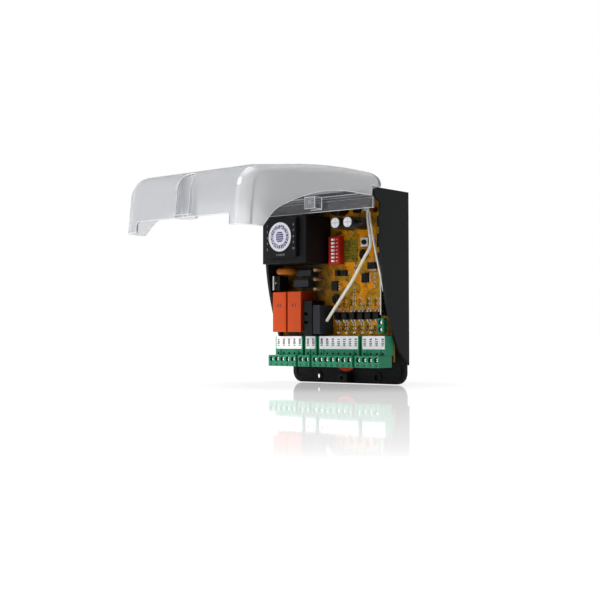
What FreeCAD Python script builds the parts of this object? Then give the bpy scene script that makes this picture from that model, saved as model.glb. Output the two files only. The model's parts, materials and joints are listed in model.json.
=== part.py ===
import FreeCAD, Part
import math
import os

V = FreeCAD.Vector

# Wall-mounted gate control panel, in millimetres, shown with its cover swung open.
# X runs right, Y into the wall, Z up. The origin is the centre of the case's back face.

# Plug-in terminals, which set the width of the board
pitch = 5.08
group_pitch = 7.62
group_poles = [5, 2, 7, 4]
plug_end = 2.8
plug_height = 8.0
plug_depth = 14.7
plug_front_step = 8.0
header_depth = 8.7
header_height = 13.5
header_skin = 1.5
header_rib = 0.9
header_end_skin = 1.2
plug_fit = 0.3
plug_tongue = 6.5
plug_travel = 7.0
plug_recess = 2.6
terminal_screw_radius = 1.5
wire_entry = 2.6
contact_size = 1.0
contact_room = 0.5
contact_length = 8.0
label_thickness = 0.2
label_height = 9.1

# Circuit board
board_thickness = 1.6
board_edge_gap = 0.5
board_side_margin = 0.21
board_height = 115.6
board_standoff = 11.2
board_screw_radius = 1.5
board_screw_head = 3.2
board_screw_head_height = 2.0
standoff_radius = 4.0

# Case
case_wall = 2.0
case_height = 134.0
plate_thickness = 2.5
apron_height = 15.7
apron_inset = 1.5
apron_corner = 8.0
side_depth = 33.0
side_bend_height = 70.4
side_bend_share = 0.685
side_foot_depth = 14.0
side_foot_height = 25.3
side_foot_radius = 30.0
side_tip_height = 13.5
top_wall_setback = 1.8
rib_inset = 3.2
rib_width = 1.0
rib_height = 0.8
wall_hole_radius = 2.15
wall_hole_spacing = 53.6
wall_hole_ring = 4.0
wall_hole_ring_height = 1.0
wall_hole_edge = 4.6
upper_hole_drop = 11.0
close_boss_width = 10.0
close_boss_height = 6.4
close_boss_edge = 0.6
close_boss_depth = 6.9
close_hole_radius = 1.3
cable_hole_radius = 9.5
cable_hole_height = 18.9
grommet_radius = 11.5
grommet_flange = 1.5
grommet_membrane = 1.0

# Hinge
hinge_setback = 3.0
hinge_drop = 3.8
ear_reach = 3.8
ear_foot = 6.7
pin_radius = 1.55
pin_clearance = 0.05
pin_length = 1.4
pin_end_gap = 0.2
lug_radius = 3.0
lug_thickness = 2.5
open_angle = 91.0

# Cover
cover_wall = 2.0
cover_gap = 0.4
cover_depth = 50.4
cover_slope = 8.0
cover_bend_height = 84.0
cover_bend_share = 0.705
cover_top_radius = 9.0
cover_foot_radius = 16.0
cover_foot_drop = 3.0
cover_foot_slope = 5.1
cover_side_radius = 8.0
lip_drop = 4.2
lip_thickness = 1.8
lip_reach = 9.9
cut_width = 81.0
cut_depth = 7.0
cut_corner = 2.0
screw_recess_radius = 5.6
screw_recess_edge = 1.6
screw_clearance_radius = 1.7
stop_width = 9.6
stop_offset = 1.0
stop_depth = 7.6
stop_height = 8.5

# Transformer
transformer_width = 40.7
transformer_height = 33.5
transformer_depth = 28.2
transformer_core_width = 28.3
transformer_core_height = 27.7
transformer_core_step = 3.3
sticker_radius = 10.4
sticker_thickness = 0.15

# Relays, fuse holder and the tall parts of the mains side
relay_width = 12.7
relay_height = 29.0
relay_depth = 16.0
relay_pitch = 14.2
fuse_width = 8.0
fuse_height = 25.5
fuse_depth = 14.0
fuse_window_drops = (8.5, 14.6)
slim_width = 6.6
slim_height = 20.6
slim_depth = 15.3
varistor_radius = 7.2
varistor_thickness = 5.0
lead_radius = 0.4
film_width = 14.0
film_height = 4.6
film_depth = 8.2
triac_width = 10.2
triac_thickness = 3.2
triac_tab = 1.3

# Low-voltage parts
can_radius = 4.2
can_height = 20.0
can_top_inset = 0.7
can_top_thickness = 0.3
choke_radius = 6.0
choke_height = 9.0
dip_width = 9.8
dip_height = 20.0
dip_depth = 5.6
dip_slot_width = 4.4
dip_slot_height = 1.5
dip_slot_depth = 1.2
dip_slider = 1.9
dip_slider_stand = 0.8
dip_travel = 1.8
dip_fit = 0.1
button_width = 6.2
button_depth = 3.4
button_frame = 0.3
button_plunger_radius = 1.7
button_plunger_stand = 1.5
button_fit = 0.15
button_travel = 0.3
opto_pitch = 6.95
opto_width = 3.9
opto_height = 5.4
opto_depth = 3.5
opto_count = 6
led_pitch = 7.1
led_count = 5
pin_width = 0.5
pin_thickness = 0.3
pin_reach = 1.0
opto_leg_width = 0.8
opto_leg_reach = 2.3
aux_width = 5.4
aux_depth = 4.9
aux_well_radius = 1.9

# Antenna connection
antenna_wire_diameter = 1.5
antenna_sleeve_diameter = 2.2

# Places that follow from the sizes above
back = 0.0
plate_front = back - plate_thickness
board_back = plate_front - board_standoff
board_front = board_back - board_thickness
row_length = sum(pitch * (n - 1) for n in group_poles) + group_pitch * (len(group_poles) - 1)
board_width = row_length + 2 * plug_end + 2 * board_side_margin
board_half = board_width / 2
inner_half = board_half + board_edge_gap
case_half = inner_half + case_wall
case_top = case_height / 2
case_bottom = -case_height / 2
cover_bottom = case_bottom - cover_foot_drop
board_bottom = case_bottom + apron_height
board_top = board_bottom + board_height
top_inside = case_top - case_wall
side_front = back - side_depth
hinge_y = side_front - hinge_setback
hinge_z = case_top - hinge_drop
header_front = board_front - header_depth
plug_front = header_front - plug_front_step
plug_back = plug_front + plug_depth
header_bottom = board_bottom + 4.6
header_top = header_bottom + header_height
plug_top = header_bottom - 0.1
plug_bottom = plug_top - plug_height
screw_line = plug_top - 2.8
screw_recess_z = case_bottom + screw_recess_edge


def box(x0, x1, y0, y1, z0, z1):
    return Part.makeBox(x1 - x0, y1 - y0, z1 - z0, V(x0, y0, z0))


def rod_y(x, z, radius, y0, y1):
    return Part.makeCylinder(radius, y1 - y0, V(x, y0, z), V(0, 1, 0))


def rod_x(y, z, radius, x0, x1):
    return Part.makeCylinder(radius, x1 - x0, V(x0, y, z), V(1, 0, 0))


def rod_z(x, y, radius, z0, z1):
    return Part.makeCylinder(radius, z1 - z0, V(x, y, z0), V(0, 0, 1))


def join(shapes):
    first = shapes[0]
    return first.fuse(shapes[1:]).removeSplitter() if len(shapes) > 1 else first


def group(shapes):
    return Part.makeCompound(shapes)


def unit(vector):
    return vector * (1.0 / vector.Length)


def rounded_wire(points, radii, closed=True):
    """A wire of straight runs whose corners are rounded by tangent arcs."""
    count = len(points)
    starts, ends, arcs = [], [], []
    for i, point in enumerate(points):
        radius = radii[i]
        if radius <= 0 or (not closed and i in (0, count - 1)):
            starts.append(point)
            ends.append(point)
            arcs.append(None)
            continue
        before = unit(points[i - 1] - point)
        after = unit(points[(i + 1) % count] - point)
        half = before.getAngle(after) / 2
        reach = radius / math.tan(half)
        centre = point + unit(before + after) * (radius / math.sin(half))
        middle = centre + unit(point - centre) * radius
        starts.append(point + before * reach)
        ends.append(point + after * reach)
        arcs.append(Part.Arc(starts[-1], middle, ends[-1]).toShape())
    edges = []
    for i in range(count):
        if arcs[i]:
            edges.append(arcs[i])
        last = i == count - 1
        if not last or closed:
            following = starts[(i + 1) % count]
            if (following - ends[i]).Length > 1e-6:
                edges.append(Part.LineSegment(ends[i], following).toShape())
    return Part.Wire(edges)


def prism_x(outline, x0, x1, radii=None):
    """A solid along X from (y, z) corners."""
    points = [V(x0, y, z) for y, z in outline]
    face = Part.Face(rounded_wire(points, radii or [0] * len(points)))
    return face.extrude(V(x1 - x0, 0, 0))


def prism_y(outline, y0, y1, radii=None):
    """A solid along Y from (x, z) corners."""
    points = [V(x, y0, z) for x, z in outline]
    face = Part.Face(rounded_wire(points, radii or [0] * len(points)))
    return face.extrude(V(0, y1 - y0, 0))


def soft_box(x0, x1, y0, y1, z0, z1, radius):
    """A moulded block whose front edges and standing edges are rounded."""
    block = box(x0, x1, y0, y1, z0, z1)
    edges = [e for e in block.Edges if e.CenterOfMass.y < y1 - 1e-6]
    return block.makeFillet(radius, edges)


def above(height):
    """The Y of a point that stands this far out of the board's front."""
    return board_front - height


def mounted(x0, x1, height, z0, z1, radius=0.0):
    """A block that stands on the board."""
    if radius:
        return soft_box(x0, x1, above(height), board_front, z0, z1, radius)
    return box(x0, x1, above(height), board_front, z0, z1)


def pole_groups():
    """The X of each pole, group by group, centred on the board."""
    groups = []
    x = -row_length / 2
    for poles in group_poles:
        groups.append([x + pitch * i for i in range(poles)])
        x = groups[-1][-1] + group_pitch
    return groups


# Places on the board: the mains side is set from the left edge, the signal side from the right
left = -board_half
right = board_half
relay_left = left + 3.6
relay_bottom = header_top + 3.1
fuse_left = relay_left + relay_pitch + relay_width + 0.6
slim_left = fuse_left + fuse_width + 1.7
transformer_left = left + 4.7
transformer_bottom = relay_bottom + relay_height + 19.8
core_middle_x = transformer_left + 19.8
core_middle_z = transformer_bottom + 17.9
dip_middle_x = transformer_left + transformer_width + 7.1
dip_middle_z = transformer_bottom + 9.1
button_x = right - 22.3
button_z = board_top - 31.8
board_screw_places = [(right - 25.2, button_z - 8.5), (slim_left + 9.9, relay_bottom + 23.2),
                      (left + 12.0, board_top - 5.2), (right - 4.5, board_top - 5.2)]
aux_x = right - 7.7
aux_z = relay_bottom + 4.0


def side_outline(shift):
    """The side wall's front edge from top to tip, moved forward by a gap, with its corner radii."""
    corners = [(side_front - shift, case_top),
               (side_front - shift, case_bottom + side_bend_height),
               (back - side_foot_depth - shift, case_bottom + side_foot_height),
               (back - shift, case_bottom + side_tip_height)]
    depth = side_depth - side_foot_depth
    height = side_bend_height - side_foot_height
    half_turn = math.atan2(depth, height) / 2
    bend_radius = side_bend_share * math.hypot(depth, height) / math.tan(half_turn)
    return corners, [0, bend_radius, side_foot_radius, 0]


def wall_hole_places():
    low = case_bottom + wall_hole_edge
    high = case_top - upper_hole_drop
    half = wall_hole_spacing / 2
    return [(-half, low), (-half, high), (half, high)]


def make_back_case():
    corners, radii = side_outline(0)
    outline = corners + [(back, case_top)]
    left_wall = prism_x(outline, -case_half, -inner_half, radii + [0])
    right_wall = prism_x(outline, inner_half, case_half, radii + [0])
    top_wall = box(-case_half, case_half, side_front + top_wall_setback, back, top_inside, case_top)
    tip = case_bottom + side_tip_height
    plate = box(-case_half, case_half, plate_front, back, tip, case_top)
    half = case_half - apron_inset
    apron = prism_y([(-half, tip + 1), (half, tip + 1), (half, case_bottom), (-half, case_bottom)],
                    plate_front, back, [0, 0, apron_corner, apron_corner])
    ears = [make_ear(inner_half, case_half), make_ear(-case_half, -inner_half)]
    body = join([plate, apron, top_wall, left_wall, right_wall] + ears)
    body = body.fuse([make_apron_rib(), make_close_boss()] + make_standoffs() + make_wall_rings())
    return body.removeSplitter().cut(make_case_holes())


def make_ear(x0, x1):
    """A hinge ear that stands out of the side wall's upper front corner."""
    front = hinge_y - ear_reach
    outline = [(side_front + 1, case_top), (hinge_y, case_top), (front, hinge_z),
               (front, hinge_z - ear_reach / 2), (side_front + 1, case_top - ear_foot - 4.0)]
    ear = prism_x(outline, x0, x1)
    return ear.fuse(rod_x(hinge_y, hinge_z, ear_reach, x0, x1)).removeSplitter()


def make_apron_rib():
    """A thin raised line that follows the edge of the apron."""
    tip = case_bottom + side_tip_height
    outer = case_half - apron_inset - rib_inset
    low = case_bottom + rib_inset
    solids = []
    for inset in (0.0, rib_width):
        half = outer - inset
        radius = apron_corner - rib_inset - inset
        solids.append(prism_y([(-half, tip), (half, tip), (half, low + inset), (-half, low + inset)],
                              plate_front - rib_height, plate_front + 0.5, [0, 0, radius, radius]))
    return solids[0].cut(solids[1])


def make_close_boss():
    """The boss that takes the cover's closing screw."""
    low = case_bottom + close_boss_edge
    half = close_boss_width / 2
    return box(-half, half, plate_front - close_boss_depth, plate_front + 0.5, low, low + close_boss_height)


def close_screw_z():
    return case_bottom + close_boss_edge + close_boss_height / 2


def make_wall_rings():
    rings = []
    places = wall_hole_places()[:1] + [(wall_hole_spacing / 2, case_bottom + wall_hole_edge)]
    for x, z in places:
        rings.append(rod_y(x, z, wall_hole_ring, plate_front - wall_hole_ring_height, plate_front + 0.5))
    return rings


def make_standoffs():
    return [rod_y(x, z, standoff_radius, board_back, plate_front + 0.5) for x, z in board_screw_places]


def make_case_holes():
    front = plate_front - board_standoff
    holes = [rod_y(x, z, wall_hole_radius, front, back + 1) for x, z in wall_hole_places()]
    blind_x = wall_hole_spacing / 2
    blind_z = case_bottom + wall_hole_edge
    holes.append(rod_y(blind_x, blind_z, wall_hole_radius, plate_front - 2, plate_front + 1))
    holes += [rod_y(x, z, board_screw_radius, board_back - 1, plate_front) for x, z in board_screw_places]
    boss_front = plate_front - close_boss_depth
    holes.append(rod_y(0, close_screw_z(), close_hole_radius, boss_front - 1, plate_front))
    holes.append(rod_y(0, case_bottom + cable_hole_height, cable_hole_radius, plate_front - 1, back + 1))
    socket = pin_length + pin_end_gap
    hole_radius = pin_radius + pin_clearance
    holes.append(rod_x(hinge_y, hinge_z, hole_radius, inner_half - 1, inner_half + socket))
    holes.append(rod_x(hinge_y, hinge_z, hole_radius, -inner_half - socket, -inner_half + 1))
    return holes


def make_cable_grommet():
    """A rubber bung in the cable hole of the back plate, with a pierceable skin."""
    z = case_bottom + cable_hole_height
    flange = rod_y(0, z, grommet_radius, plate_front - grommet_flange, plate_front)
    neck = rod_y(0, z, cable_hole_radius, plate_front, back)
    hollow = rod_y(0, z, cable_hole_radius - grommet_flange, plate_front - grommet_flange - 1,
                   back - grommet_membrane)
    return flange.fuse(neck).removeSplitter().cut(hollow)


def cover_slab(inset):
    """The closed cover's full outside form, or its hollow when inset by the wall."""
    front = -cover_depth + inset
    top = case_top - cover_gap - inset
    bend_z = case_bottom + cover_bend_height
    slope = math.tan(math.radians(cover_slope))
    foot = math.tan(math.radians(cover_foot_slope))
    slope_shift = inset * math.tan(math.radians(cover_slope) / 2)
    bend = (front, bend_z + slope_shift)
    foot_z = cover_bottom + inset / math.cos(math.radians(cover_foot_slope))
    y_foot = (front + slope * (bend[1] - foot_z)) / (1 - slope * foot)
    corner_z = foot_z - foot * y_foot
    behind = 10.0
    tall = top + case_height / 2
    outline = [(behind, tall), (front, tall), bend, (y_foot, corner_z), (behind, foot_z - foot * behind)]
    upper_run = case_top - cover_gap - bend_z
    bend_radius = cover_bend_share * upper_run / math.tan(math.radians(cover_slope) / 2)
    side = case_half - inset
    slab = prism_x(outline, -side, side, [0, 0, bend_radius - inset, cover_foot_radius - inset, 0])
    slab = slab.makeFillet(cover_side_radius - inset, front_edges(slab, side))
    cap = [(behind + 1, -case_height), (behind + 1, top), (front - 0.02, top), (front - 0.02, -case_height)]
    return slab.common(prism_x(cap, -side - 1, side + 1, [0, 0, cover_top_radius - inset, 0]))


def front_edges(slab, side):
    """The edges where the slab's front and foot meet its two sides."""
    edges = []
    for edge in slab.Edges:
        bounds = edge.BoundBox
        on_side = bounds.XLength < 0.01 and abs(abs(bounds.XMin) - side) < 0.01
        if on_side and edge.CenterOfMass.y < side_front and bounds.ZLength > 1:
            edges.append(edge)
    return edges


def make_cover():
    """The clear cover, made closed and then swung open about the hinge."""
    shell = cover_slab(0.0).cut(cover_slab(cover_wall))
    shell = shell.cut([make_cover_back()] + make_ear_notches())
    extras = make_cover_lip() + make_cover_lugs() + [make_screw_recess()]
    shell = shell.fuse(extras).removeSplitter()
    shell = shell.cut(make_cover_cuts())
    return shell


def make_cover_back():
    """All that lies behind the cover's free edge."""
    corners, radii = side_outline(cover_gap)
    tip_z = corners[-1][1]
    leg_end = plate_front - cover_gap
    corners = corners[:-1] + [(leg_end, tip_z + 1.2), (leg_end, case_bottom - 20),
                              (40, case_bottom - 20), (40, case_top + 20),
                              (side_front - cover_gap, case_top + 20)]
    radii = radii[:-1] + [0, 0, 0, 0, 0]
    return prism_x(corners[1:], -case_half - 5, case_half + 5, radii[1:])


def make_cover_lip():
    """The inner lip along the hinge edge, and the moulded stop at its middle."""
    half = inner_half - cover_gap
    top = hinge_z - pin_radius + 0.7
    low = top - lip_thickness
    web_front = hinge_y - 0.6
    lip = box(-half, half, web_front, hinge_y + lip_reach, low, top)
    web = box(-half + lug_thickness, half - lug_thickness, hinge_y + 1.2, side_front - cover_gap,
              low, case_top - cover_gap - cover_wall / 2)
    stop = box(stop_offset - stop_width / 2, stop_offset + stop_width / 2, web_front,
               web_front + stop_height, low - stop_depth, top)
    dimple = rod_z(stop_offset, web_front + stop_height / 2, 0.8, low - stop_depth - 1, low - stop_depth + 2)
    return [lip, web, stop.cut(dimple)]


def make_cover_lugs():
    """A lug and its moulded pivot pin at each end of the hinge edge."""
    lugs = []
    for side in (1, -1):
        inner = inner_half - cover_gap
        x0, x1 = sorted((side * (inner - lug_thickness), side * inner))
        disc = rod_x(hinge_y, hinge_z, lug_radius, x0, x1)
        web = box(x0, x1, hinge_y - lug_radius, hinge_y + lug_radius, hinge_z,
                  case_top - cover_gap - cover_wall / 2)
        tip0, tip1 = sorted((side * inner, side * (inner_half + pin_length)))
        pin = rod_x(hinge_y, hinge_z, pin_radius, tip0, tip1)
        lugs.append(disc.fuse([web, pin]))
    return lugs


def make_screw_recess():
    """The shell of the half-round pocket in the foot that sinks the closing screw."""
    cut_front = plate_front - cover_gap - cut_depth
    outer = rod_y(0, screw_recess_z, screw_recess_radius + cover_wall, -cover_depth, cut_front)
    return outer.common(cover_slab(0.0))


def make_cover_cuts():
    leg_end = plate_front - cover_gap
    cut_front = leg_end - cut_depth
    half = cut_width / 2
    outline = [(-half, leg_end + 20), (-half, cut_front), (half, cut_front), (half, leg_end + 20)]
    points = [V(x, y, case_bottom - 15) for x, y in outline]
    face = Part.Face(rounded_wire(points, [0, cut_corner, cut_corner, 0]))
    terminal_cut = face.extrude(V(0, 0, 15 + side_tip_height + 4))
    z = screw_recess_z
    recess = rod_y(0, z, screw_recess_radius, -cover_depth - 10, cut_front - cover_wall)
    recess = recess.fuse(box(-screw_recess_radius, screw_recess_radius, -cover_depth - 10,
                             cut_front - cover_wall, case_bottom - 20, z))
    screw = rod_y(0, close_screw_z(), screw_clearance_radius, cut_front - 6, cut_front + 1)
    return [terminal_cut, recess, screw]


def make_ear_notches():
    """Room in the cover's side walls for the case's hinge ears."""
    ear_front = hinge_y - ear_reach - 0.6
    low = case_top - ear_foot - 4.0
    notches = []
    for side in (1, -1):
        x0, x1 = sorted((side * (inner_half - cover_gap), side * (case_half + 5)))
        notches.append(box(x0, x1, ear_front, side_front + 5, low, case_top + 5))
    return notches


def make_board():
    board = box(-board_half, board_half, board_front, board_back, board_bottom, board_top)
    holes = [rod_y(x, z, board_screw_radius, board_front - 1, board_back + 1) for x, z in board_screw_places]
    return board.cut(holes)


def make_board_screws():
    screws = []
    for x, z in board_screw_places:
        head = rod_y(x, z, board_screw_head, above(board_screw_head_height), board_front)
        edges = [e for e in head.Edges if abs(e.CenterOfMass.y - above(board_screw_head_height)) < 1e-3]
        head = head.makeFillet(0.8, edges)
        shank = rod_y(x, z, board_screw_radius - 0.02, board_front, board_back + 6)
        front = above(board_screw_head_height)
        slot = [box(x - 1.6, x + 1.6, front - 1, front + 0.8, z - 0.3, z + 0.3),
                box(x - 0.3, x + 0.3, front - 1, front + 0.8, z - 1.6, z + 1.6)]
        screws.append(head.fuse(shank).cut(slot))
    return group(screws)


def make_transformer():
    x0 = transformer_left
    z0 = transformer_bottom
    block = soft_box(x0, x0 + transformer_width, above(transformer_depth), board_front,
                     z0, z0 + transformer_height, 0.6)
    return block


def make_transformer_core():
    half_x = transformer_core_width / 2
    half_z = transformer_core_height / 2
    front = above(transformer_depth + transformer_core_step)
    return soft_box(core_middle_x - half_x, core_middle_x + half_x, front, above(transformer_depth),
                    core_middle_z - half_z, core_middle_z + half_z, 0.6)


def make_transformer_sticker():
    front = above(transformer_depth + transformer_core_step)
    return rod_y(core_middle_x - 0.5, core_middle_z + 0.7, sticker_radius, front - sticker_thickness, front)


def make_relay(index):
    x0 = relay_left + index * relay_pitch
    return mounted(x0, x0 + relay_width, relay_depth, relay_bottom, relay_bottom + relay_height, 0.5)


def make_fuse_holder():
    z0 = header_top
    z1 = z0 + fuse_height
    body = mounted(fuse_left, fuse_left + fuse_width, fuse_depth, z0, z1, 0.5)
    front = above(fuse_depth)
    windows = []
    for drop in fuse_window_drops:
        windows.append(box(fuse_left + 0.9, fuse_left + 4.6, front - 1, front + 2.5, z1 - drop - 2.1, z1 - drop))
    return body.cut(windows)


def make_slim_relay():
    z0 = header_top + 1.6
    body = mounted(slim_left, slim_left + slim_width, slim_depth, z0, z0 + slim_height, 0.5)
    front = above(slim_depth)
    panel = box(slim_left + 1.0, slim_left + slim_width - 1.0, front - 1, front + 0.3,
                z0 + 1.2, z0 + slim_height - 1.2)
    return body.cut(panel)


def make_varistor():
    x = left + 11.9
    z = transformer_bottom - 4.7
    y = above(varistor_radius + 3.0)
    disc = rod_z(x, y, varistor_radius, z - varistor_thickness / 2, z + varistor_thickness / 2)
    edges = [e for e in disc.Edges if e.Curve.TypeId == "Part::GeomCircle"]
    disc = disc.makeFillet(varistor_thickness * 0.45, edges)
    legs = [rod_y(x + dx, z, lead_radius, y, board_front) for dx in (-3.75, 3.75)]
    return disc.fuse(legs)


def make_triac():
    x0 = left + 2.8 + triac_tab
    z0 = transformer_bottom - 18.2
    body = box(x0, x0 + triac_thickness, above(12.5), above(3.0), z0, z0 + triac_width)
    legs = [box(x0 + 1.2, x0 + 1.8, above(3.0), board_front, z0 + 2.2 + i * 2.54, z0 + 3.0 + i * 2.54)
            for i in range(3)]
    return body.fuse(legs)


def make_triac_tab():
    x0 = left + 2.8
    z0 = transformer_bottom - 18.2
    tab = box(x0, x0 + triac_tab, above(15.0), above(3.2), z0, z0 + triac_width)
    return tab.cut(rod_x(above(13.4), z0 + triac_width / 2, 1.0, x0 - 1, x0 + triac_tab + 1))


def make_film_capacitors():
    lower = transformer_bottom - 16.4
    first = left + 19.4
    second = left + 17.0
    return group([
        mounted(first, first + film_width, film_depth, lower + 7.9, lower + 7.9 + film_height, 0.4),
        mounted(second, second + film_width, film_depth, lower, lower + film_height + 1.0, 0.4)])


def make_standing_resistors():
    x = left + 35.8
    solids = []
    for drop in (4.1, 11.0, 17.9):
        z = transformer_bottom - drop
        body = rod_y(x, z, 1.2, above(7.2), above(0.8))
        body = body.makeFillet(0.5, [e for e in body.Edges if e.Curve.TypeId == "Part::GeomCircle"])
        solids.append(body.fuse(rod_y(x, z, lead_radius, above(8.0), board_front)))
        solids.append(rod_y(x + 2.2, z, lead_radius, above(8.0), board_front))
    return group(solids)


can_places = [(transformer_left + transformer_width + 19.7, transformer_bottom + 26.8),
              (transformer_left + transformer_width + 30.5, transformer_bottom + 26.7)]


def make_capacitor_sleeves():
    solids = []
    for x, z in can_places:
        can = rod_y(x, z, can_radius, above(can_height), board_front)
        rim = [e for e in can.Edges if abs(e.CenterOfMass.y - above(can_height)) < 1e-3]
        can = can.makeFillet(can_top_inset * 0.8, rim)
        solids.append(can)
    return group(solids)


def make_capacitor_tops():
    solids = []
    for x, z in can_places:
        top = rod_y(x, z, can_radius - can_top_inset, above(can_height + can_top_thickness), above(can_height))
        front = above(can_height + can_top_thickness)
        score = [box(x - 2.6, x + 2.6, front - 1, front + 0.15, z - 0.15, z + 0.15),
                 box(x - 0.15, x + 0.15, front - 1, front + 0.15, z - 2.6, z + 2.6)]
        solids.append(top.cut(score))
    return group(solids)


def make_round_choke():
    x = transformer_left + transformer_width + 10.8
    z = board_top - 6.2
    choke = rod_y(x, z, choke_radius, above(choke_height), board_front)
    rim = [e for e in choke.Edges if abs(e.CenterOfMass.y - above(choke_height)) < 1e-3]
    return choke.makeFillet(0.8, rim)


def make_antenna_coil():
    x = right - 14.3
    z = board_top - 9.7
    rings = [rod_y(x, z, 1.9, above(1.0 + 1.3 * i + 0.9), above(1.0 + 1.3 * i)) for i in range(4)]
    core = rod_y(x, z, 1.2, above(6.6), board_front)
    return core.fuse(rings).removeSplitter()


def slider_z(index):
    return dip_middle_z + (3 - index) * 2.54


def make_dip_body():
    x0 = dip_middle_x - dip_width / 2
    z0 = dip_middle_z - dip_height / 2
    body = mounted(x0, x0 + dip_width, dip_depth, z0, z0 + dip_height, 0.3)
    front = above(dip_depth)
    slots = [box(dip_middle_x - dip_slot_width / 2, dip_middle_x + dip_slot_width / 2, front - 1,
                 front + dip_slot_depth, slider_z(i) - dip_slot_height / 2, slider_z(i) + dip_slot_height / 2)
             for i in range(7)]
    return body.cut(slots)


def make_dip_slider(index):
    x0 = dip_middle_x - dip_travel / 2 - dip_slider / 2
    half = dip_slot_height / 2 - dip_fit
    front = above(dip_depth + dip_slider_stand)
    return box(x0, x0 + dip_slider, front, above(dip_depth - dip_slot_depth + dip_fit),
               slider_z(index) - half, slider_z(index) + half)


def make_button_base():
    half = button_width / 2
    base = mounted(button_x - half, button_x + half, button_depth - button_frame,
                   button_z - half, button_z + half)
    well = rod_y(button_x, button_z, button_plunger_radius + button_fit, above(button_depth + 1), above(1.0))
    return base.cut(well)


def make_button_frame():
    half = button_width / 2
    plate = box(button_x - half, button_x + half, above(button_depth), above(button_depth - button_frame),
                button_z - half, button_z + half)
    well = rod_y(button_x, button_z, button_plunger_radius + button_fit, above(button_depth + 1),
                 above(button_depth - 1))
    return plate.cut(well)


def make_button_plunger():
    front = above(button_depth + button_plunger_stand)
    stem = rod_y(button_x, button_z, button_plunger_radius, front, above(1.0 + button_travel + 0.1))
    rim = [e for e in stem.Edges if abs(e.CenterOfMass.y - front) < 1e-3]
    return stem.makeFillet(0.3, rim)


def make_header(poles):
    """A shrouded header, open at its foot, with a keyed rib between poles."""
    x0 = poles[0] - plug_end
    x1 = poles[-1] + plug_end
    body = box(x0, x1, header_front, board_front, header_bottom, header_top)
    cavity = box(x0 + header_end_skin, x1 - header_end_skin, header_front + header_skin,
                 board_front - header_skin, header_bottom - 1, header_bottom + plug_tongue + 0.5)
    body = body.cut(cavity)
    slots = [box(x - 0.8, x + 0.8, header_front - 1, header_front + 0.7, header_bottom + 0.5,
                 header_bottom + 1.9) for x in poles]
    body = body.cut(slots)
    places = [poles[0] + 1.9] + ([poles[-1] - 1.9] if len(poles) > 2 else [])
    ribs = [box(x - 0.6, x + 0.6, header_front - header_rib, header_front, header_bottom,
                header_top - label_height - 0.2) for x in places]
    return body.fuse(ribs).removeSplitter()


def make_header_contacts():
    solids = []
    middle = (header_front + board_front) / 2
    half = contact_size / 2
    ceiling = header_bottom + plug_tongue + 0.5
    for poles in pole_groups():
        for x in poles:
            solids.append(box(x - half, x + half, middle - half, middle + half,
                              ceiling - contact_length, ceiling))
    return group(solids)


def make_labels():
    solids = []
    for poles in pole_groups():
        solids.append(box(poles[0] - plug_end + 1.0, poles[-1] + plug_end - 1.0,
                          header_front - label_thickness, header_front, header_top - label_height, header_top))
    return group(solids)


def make_plug(poles):
    """A plug-in terminal: its tongue slides up into the header."""
    x0 = poles[0] - plug_end
    x1 = poles[-1] + plug_end
    body = box(x0, x1, plug_front, plug_back, plug_bottom, plug_top)
    tongue = box(x0 + header_end_skin + plug_fit, x1 - header_end_skin - plug_fit,
                 header_front + header_skin + plug_fit, board_front - header_skin - plug_fit,
                 plug_top - 0.5, plug_top + plug_tongue)
    body = body.fuse(tongue).removeSplitter()
    middle = (header_front + board_front) / 2
    half = contact_size / 2 + contact_room
    cuts = []
    for x in poles:
        cuts.append(rod_y(x, screw_line, terminal_screw_radius + 0.3, plug_front - 1, plug_front + plug_recess))
        cuts.append(box(x - half, x + half, middle - half, middle + half,
                        plug_top - contact_length, plug_top + plug_tongue + 1))
        cuts.append(box(x - wire_entry / 2, x + wire_entry / 2, plug_front + 3.4,
                        plug_front + 3.4 + wire_entry, plug_bottom - 1, plug_bottom + 3.0))
        cuts.append(box(x - 0.9, x + 0.9, plug_front - 1, plug_front + 0.8, plug_bottom + 0.7, plug_bottom + 1.5))
    return body.cut(cuts)


def make_plug_screws(poles):
    screws = []
    for x in poles:
        seat = plug_front + plug_recess
        screw = rod_y(x, screw_line, terminal_screw_radius, seat - 1.6, seat)
        slot = box(x - 0.25, x + 0.25, seat - 2, seat - 0.9, screw_line - 2, screw_line + 2)
        screws.append(screw.cut(slot))
    return group(screws)


def make_aux_terminal():
    half_x = aux_width / 2
    half_z = pitch
    body = mounted(aux_x - half_x, aux_x + half_x, aux_depth, aux_z - half_z, aux_z + half_z)
    cuts = []
    for dz in (-pitch / 2, pitch / 2):
        cuts.append(rod_y(aux_x, aux_z + dz, aux_well_radius, above(aux_depth + 1), above(aux_depth - 1.4)))
        cuts.append(box(aux_x + half_x - 2.0, aux_x + half_x + 1, above(2.7), above(0.8),
                        aux_z + dz - 1.3, aux_z + dz + 1.3))
    return body.cut(cuts)


def make_aux_screws():
    screws = []
    for dz in (-pitch / 2, pitch / 2):
        front = above(aux_depth - 0.7)
        screw = rod_y(aux_x, aux_z + dz, terminal_screw_radius, front, above(aux_depth - 1.4))
        slot = box(aux_x - 2.0, aux_x + 2.0, front - 1, front + 0.4, aux_z + dz - 0.25, aux_z + dz + 0.25)
        screws.append(screw.cut(slot))
    return group(screws)


opto_first_x = right - 47.3
opto_z = relay_bottom + 11.2


def gull_pin(x, z, along_x, sign):
    """A flat leg from a chip's side down to the board."""
    half = pin_width / 2
    if along_x:
        x0, x1 = sorted((x, x + sign * pin_reach))
        return box(x0, x1, above(pin_thickness), board_front, z - half, z + half)
    z0, z1 = sorted((z, z + sign * pin_reach))
    return box(x - half, x + half, above(pin_thickness), board_front, z0, z1)


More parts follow.
